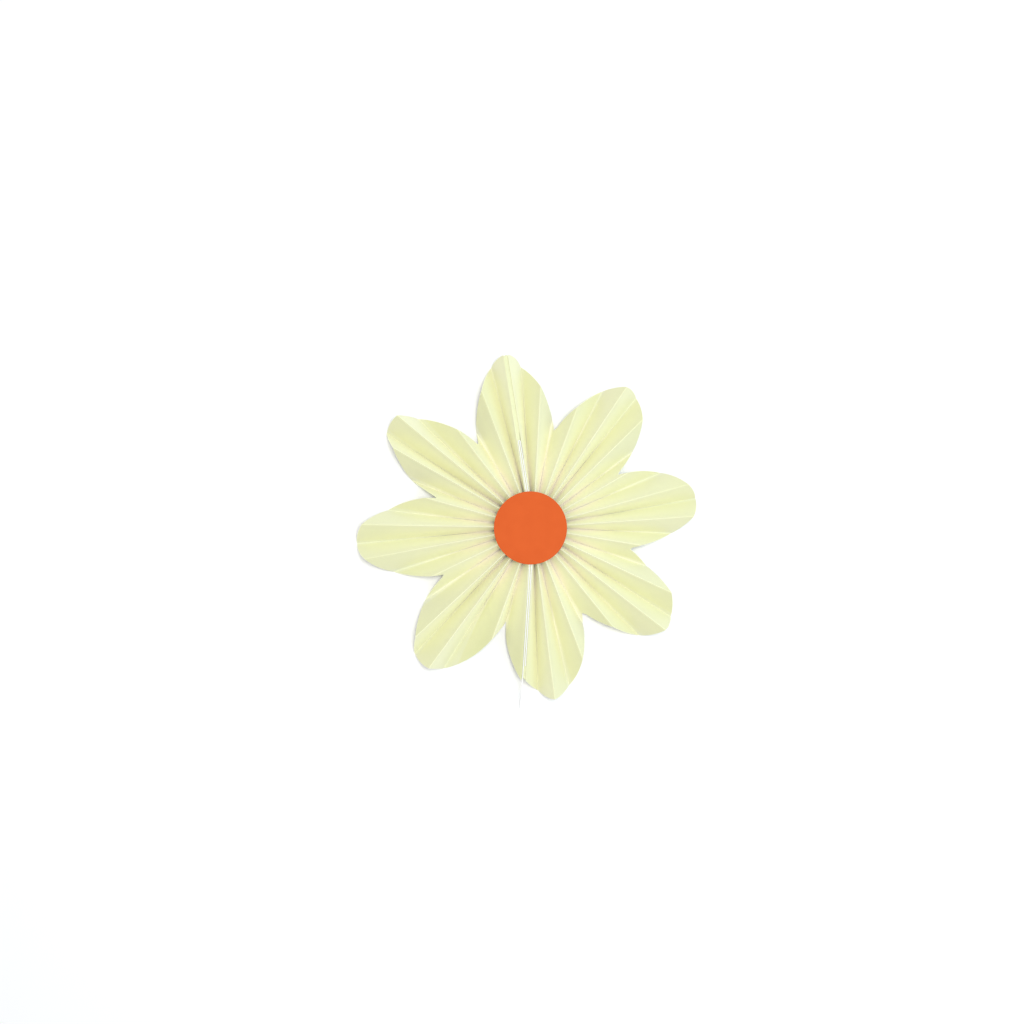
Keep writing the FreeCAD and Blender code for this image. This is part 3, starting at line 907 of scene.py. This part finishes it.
def half_sheet(first, last):
    """One opened half, from the free edge at one seam to the free edge at the other."""
    points = []
    names = ("rim", "tip", "place", "stray_peak", "stray_end", "stray_height")
    numbers = {name: [] for name in names}
    for fold in range(first, last + 1):
        points += fold_points(fold, first, last)
        peak, end, height = stray_creases.get(fold, no_crease)
        values = (rim_radius(fold) * MM, tip_reach(fold) * MM, pattern_place(fold),
                  peak, end, height * MM)
        for name, value in zip(numbers, values):
            numbers[name] += [value] * points_per_fold
    mesh = mesh_from(points, [], [], "fold_lines")
    for name, values in numbers.items():
        mesh.attributes.new(name, "FLOAT", "POINT").data.foreach_set("value", values)
    carrier = add_object(mesh, "fold_lines")
    run_tree(carrier, folding_tree, {**sheet_sizes, "Panels": last - first})
    solidify = carrier.modifiers.new("thickness", "SOLIDIFY")
    solidify.thickness = paper_thickness * MM
    solidify.offset = 0.0
    return settle(carrier, "half_sheet")


halves = [half_sheet(0, top_seam_fold), half_sheet(top_seam_fold, fold_count)]
petals = join_pieces(halves, "pleated_petals")
petals.data.set_sharp_from_angle(angle=math.radians(75))
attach(petals, "root")
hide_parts("pleated_fan")
fan_low, fan_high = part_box("pleated_fan")
fan_box = [round(c / MM, 1) for c in (*fan_low, *fan_high)]
print("paper", len(petals.data.polygons), "faces; CAD fan", fan_box)

# %% [markdown]
# ## The disc and the pad under it
# The disc is plain orange card with a crisp punched edge. A lathe profile is the right
# way to make it: the edge has a tiny rounding at the front, as punching leaves it. The
# foam ring between card and ridges is turned the same way, with a rough open skin.

# %% Turned pieces
def turned(profile, name, centre, finish, steps=160):
    """A closed solid turned from (radius, height) points in millimetres."""
    points = []
    faces = []
    count = len(profile)
    for step in range(steps):
        angle = math.tau * step / steps
        for radius, height in profile:
            spot = Vector((radius * math.cos(angle), radius * math.sin(angle), height))
            points.append(centre + spot * MM)
    for step in range(steps):
        here, there = step * count, (step + 1) % steps * count
        for i in range(count - 1):
            faces.append((here + i, there + i, there + i + 1, here + i + 1))
        if profile[0][0] > 0 and profile[-1][0] > 0:
            faces.append((here + count - 1, there + count - 1, there, here))
    piece = add_object(mesh_from(points, [], faces, name), name)
    clean_mesh(piece)
    piece.data.materials.append(finish)
    return piece


def clean_mesh(piece, angle=40, merge_distance=1e-7):
    """Merges double points, makes the faces point out and shades smooth but for edges."""
    work = bmesh.new()
    work.from_mesh(piece.data)
    bmesh.ops.remove_doubles(work, verts=work.verts, dist=merge_distance)
    bmesh.ops.dissolve_degenerate(work, edges=work.edges, dist=merge_distance)
    bmesh.ops.recalc_face_normals(work, faces=work.faces)
    work.to_mesh(piece.data)
    work.free()
    piece.data.polygons.foreach_set("use_smooth", [True] * len(piece.data.polygons))
    piece.data.set_sharp_from_angle(angle=math.radians(angle))


print("lathe ready")


# %% Card finish
card_shade, card_light = (0.63, 0.104, 0.0205, 1), (0.65, 0.11, 0.022, 1)
card_finish, tree, shader, where = new_finish("orange_card", 0.85, Specular_IOR_Level=0.15)
cloud = noise(tree, where, scale=90, detail=3, roughness=0.5)
two_tones(tree, shader, cloud, 0.35, 0.65, card_shade, card_light)
grain = noise(tree, where, scale=1500, detail=4, roughness=0.6)
bump(tree, shader, grain, distance=0.012 * MM)
print("card finish", card_finish.name)

# %% Disc
disc_low, disc_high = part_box("centre_disc")
disc_centre = (disc_low + disc_high) / 2
disc_centre.z = disc_low.z
disc_radius = (disc_high.x - disc_low.x) / 2 / MM
disc_thick = (disc_high.z - disc_low.z) / MM
back_round, front_round = 0.05, 0.12
front_mid = 0.035
flat_from_edge = 6
disc_profile = [
    (0, 0), (disc_radius - back_round, 0), (disc_radius, back_round),
    (disc_radius, disc_thick - front_round), (disc_radius - front_mid, disc_thick - front_mid),
    (disc_radius - front_round, disc_thick), (disc_radius - flat_from_edge, disc_thick),
    (0, disc_thick),
]
card_disc = turned(disc_profile, "card_disc", disc_centre, card_finish)
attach(card_disc, "root")
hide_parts("centre_disc")
print("disc", round(disc_radius, 2), "mm radius,", round(disc_thick, 2), "mm thick")

# %% Foam finish
foam_shade, foam_light = (0.70, 0.70, 0.68, 1), (0.86, 0.86, 0.84, 1)
foam_finish, tree, shader, where = new_finish("foam_white", 0.95)
cells = add_node(tree, "ShaderNodeTexVoronoi", {"Vector": where, "Scale": 2600}).outputs[0]
two_tones(tree, shader, cells, 0.1, 0.6, foam_shade, foam_light)
bump(tree, shader, cells, distance=0.08 * MM)
print("foam finish", foam_finish.name)

# %% Foam ring
pad_inner = 14.0
pad_outer = (pad_high.x - pad_low.x) / 2 / MM
pad_height = (pad_high.z - pad_low.z) / MM
pad_round, pad_squeeze = 0.06, 0.08
pad_profile = [
    (pad_inner, pad_round), (pad_inner + pad_round, 0), (pad_outer - pad_round, 0),
    (pad_outer, pad_round), (pad_outer - pad_squeeze, pad_height / 2),
    (pad_outer, pad_height - pad_round), (pad_outer - pad_round, pad_height),
    (pad_inner + pad_round, pad_height), (pad_inner, pad_height - pad_round),
]
pad_centre = Vector((hub.x, hub.y, pad_low.z))
foam_ring = turned(pad_profile, "foam_ring", pad_centre, foam_finish)
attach(foam_ring, "root")
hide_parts("disc_pad")
print("foam ring", len(foam_ring.data.polygons), "faces")

# %% [markdown]
# ## The tape in the seams
# A strip of the same thin paper, glued on as tape, joins the free edges behind each
# seam. The CAD solids have the right section, but end square and just inside the rim,
# where the real tape was trimmed along with the petal. So a copy of each is drawn out
# to the rim and cut along it on both sides, and the cut is closed again.

# %% Tape finish
tape_shade, tape_light = (0.70, 0.72, 0.455, 1), (0.75, 0.77, 0.495, 1)
grain_along_tape = (1, 0.25, 1)
tape_finish, tree, shader, where = new_finish("seam_tape", 0.7)
fibres = noise(tree, where, scale=1100, detail=5, roughness=0.7, stretch=grain_along_tape)
two_tones(tree, shader, fibres, 0.3, 0.7, tape_shade, tape_light)
bump(tree, shader, fibres, distance=0.03 * MM)
print("tape finish", tape_finish.name)


# %% Trimming the tape
share_of_panel = 0.3
end_zone, drawn_out = 1.5, 2.5


def rim_line(edge, beside):
    """The rim at a free edge and part of the way to the fold beside it, in metres."""
    line = []
    seam_aside = math.degrees(math.asin(seam_half_gap / rim_radius(edge)))
    if beside < edge:
        seam_aside = -seam_aside
    for share in (0.0, share_of_panel):
        turned_by = (fold_direction(beside) - fold_direction(edge)) * share
        angle = math.radians(fold_direction(edge) + turned_by + seam_aside * (1 - share))
        radius = rim_radius(edge) + (rim_radius(beside) - rim_radius(edge)) * share
        line.append(hub + Vector((radius * math.cos(angle), radius * math.sin(angle), 0)) * MM)
    return line


def trim_along(work, line, inset):
    """Cuts a mesh off a little inside a line seen from above, and closes the cut."""
    along = (line[1] - line[0]).normalized()
    outward = Vector((along.y, -along.x, 0))
    if outward.dot(line[0] - hub) < 0:
        outward = -outward
    place = line[0] - outward * inset * MM
    whole = work.verts[:] + work.edges[:] + work.faces[:]
    bmesh.ops.bisect_plane(work, geom=whole, plane_co=place, plane_no=outward, clear_outer=True)
    rims = [edge for edge in work.edges if edge.is_boundary]
    closed = bmesh.ops.holes_fill(work, edges=rims, sides=0)
    bmesh.ops.triangulate(work, faces=closed["faces"])


def trimmed_tape(node, name, seam, inset, lines):
    """A CAD tape drawn out past the rim and cut along it."""
    work = bmesh.new()
    work.from_mesh(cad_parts[node].data)
    bmesh.ops.remove_doubles(work, verts=work.verts, dist=0.001 * MM)
    angle = math.radians(fold_direction(seam))
    outward = Vector((math.cos(angle), math.sin(angle), 0))
    reach = max((v.co - hub).dot(outward) for v in work.verts)
    for vertex in work.verts:
        if (vertex.co - hub).dot(outward) > reach - end_zone * MM:
            vertex.co += outward * drawn_out * MM
    for line in lines:
        trim_along(work, line, inset)
    bmesh.ops.recalc_face_normals(work, faces=work.faces)
    mesh = bpy.data.meshes.new(name)
    work.to_mesh(mesh)
    work.free()
    piece = add_object(mesh, name)
    mesh.materials.append(tape_finish)
    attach(piece, "root")
    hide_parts(node)
    print(name, len(mesh.polygons), "faces,", len(lines), "cuts")


# %% Both tapes
bottom_lines = [rim_line(0, 1), rim_line(fold_count, fold_count - 1)]
top_lines = [rim_line(top_seam_fold, top_seam_fold + side) for side in (-1, 1)]
trimmed_tape("seam_tape_bottom", "bottom_tape", seam=0, inset=0.15, lines=bottom_lines)
trimmed_tape("seam_tape_top", "top_tape", seam=top_seam_fold, inset=0.7, lines=top_lines)

# %% [markdown]
# ## Light and floor
# The rosette lies on a white surface in soft, bright light. Most of it comes from above,
# from the camera's side, and reaches down into the grooves. A weaker and cooler lamp
# lower on the right makes the panels that face it a little lighter, and a white world
# fills in the rest.

# %% Floor
floor_half = 3
floor_shade, floor_light = (0.90, 0.90, 0.90, 1), (0.92, 0.92, 0.92, 1)
floor_finish, tree, shader, where = new_finish("floor_white", 0.9)
two_tones(tree, shader, noise(tree, where, scale=2), 0.0, 1.0, floor_shade, floor_light)
floor_corners = [(-floor_half, -floor_half, 0), (floor_half, -floor_half, 0),
                 (floor_half, floor_half, 0), (-floor_half, floor_half, 0)]
floor = add_object(mesh_from(floor_corners, [], [(0, 1, 2, 3)], "floor"), "floor")
floor.data.materials.append(floor_finish)
print("floor", 2 * floor_half, "m across")


# %% Lights
lamp_distance = 1.6
key_colour = (0.28, 0.70, 1.0)
world_strength = 0.57


def area_light(name, azimuth, elevation, size, power, colour=(1, 1, 1)):
    """A square lamp at a direction from the rosette in degrees, facing it."""
    data = bpy.data.lights.new(name, "AREA")
    data.energy = power
    data.size = size
    data.color = colour
    lamp = add_object(data, name)
    around, up = math.radians(azimuth), math.radians(elevation)
    level = math.cos(up)
    away = Vector((math.cos(around) * level, math.sin(around) * level, math.sin(up)))
    lamp.location = away * lamp_distance
    lamp.rotation_mode = "QUATERNION"
    lamp.rotation_quaternion = away.to_track_quat("Z", "Y")
    return lamp


overhead = area_light("overhead", azimuth=40, elevation=84, size=0.4, power=17)
key = area_light("key", azimuth=18, elevation=42, size=0.7, power=3.1, colour=key_colour)
world = bpy.data.worlds.new("soft_world")
world.use_nodes = True
background = world.node_tree.nodes["Background"]
background.inputs["Color"].default_value = (1, 1, 1, 1)
background.inputs["Strength"].default_value = world_strength
scene.world = world
scene.view_settings.view_transform = "Standard"
print("overhead", overhead.data.energy, "W, key", round(key.data.energy, 2), "W")
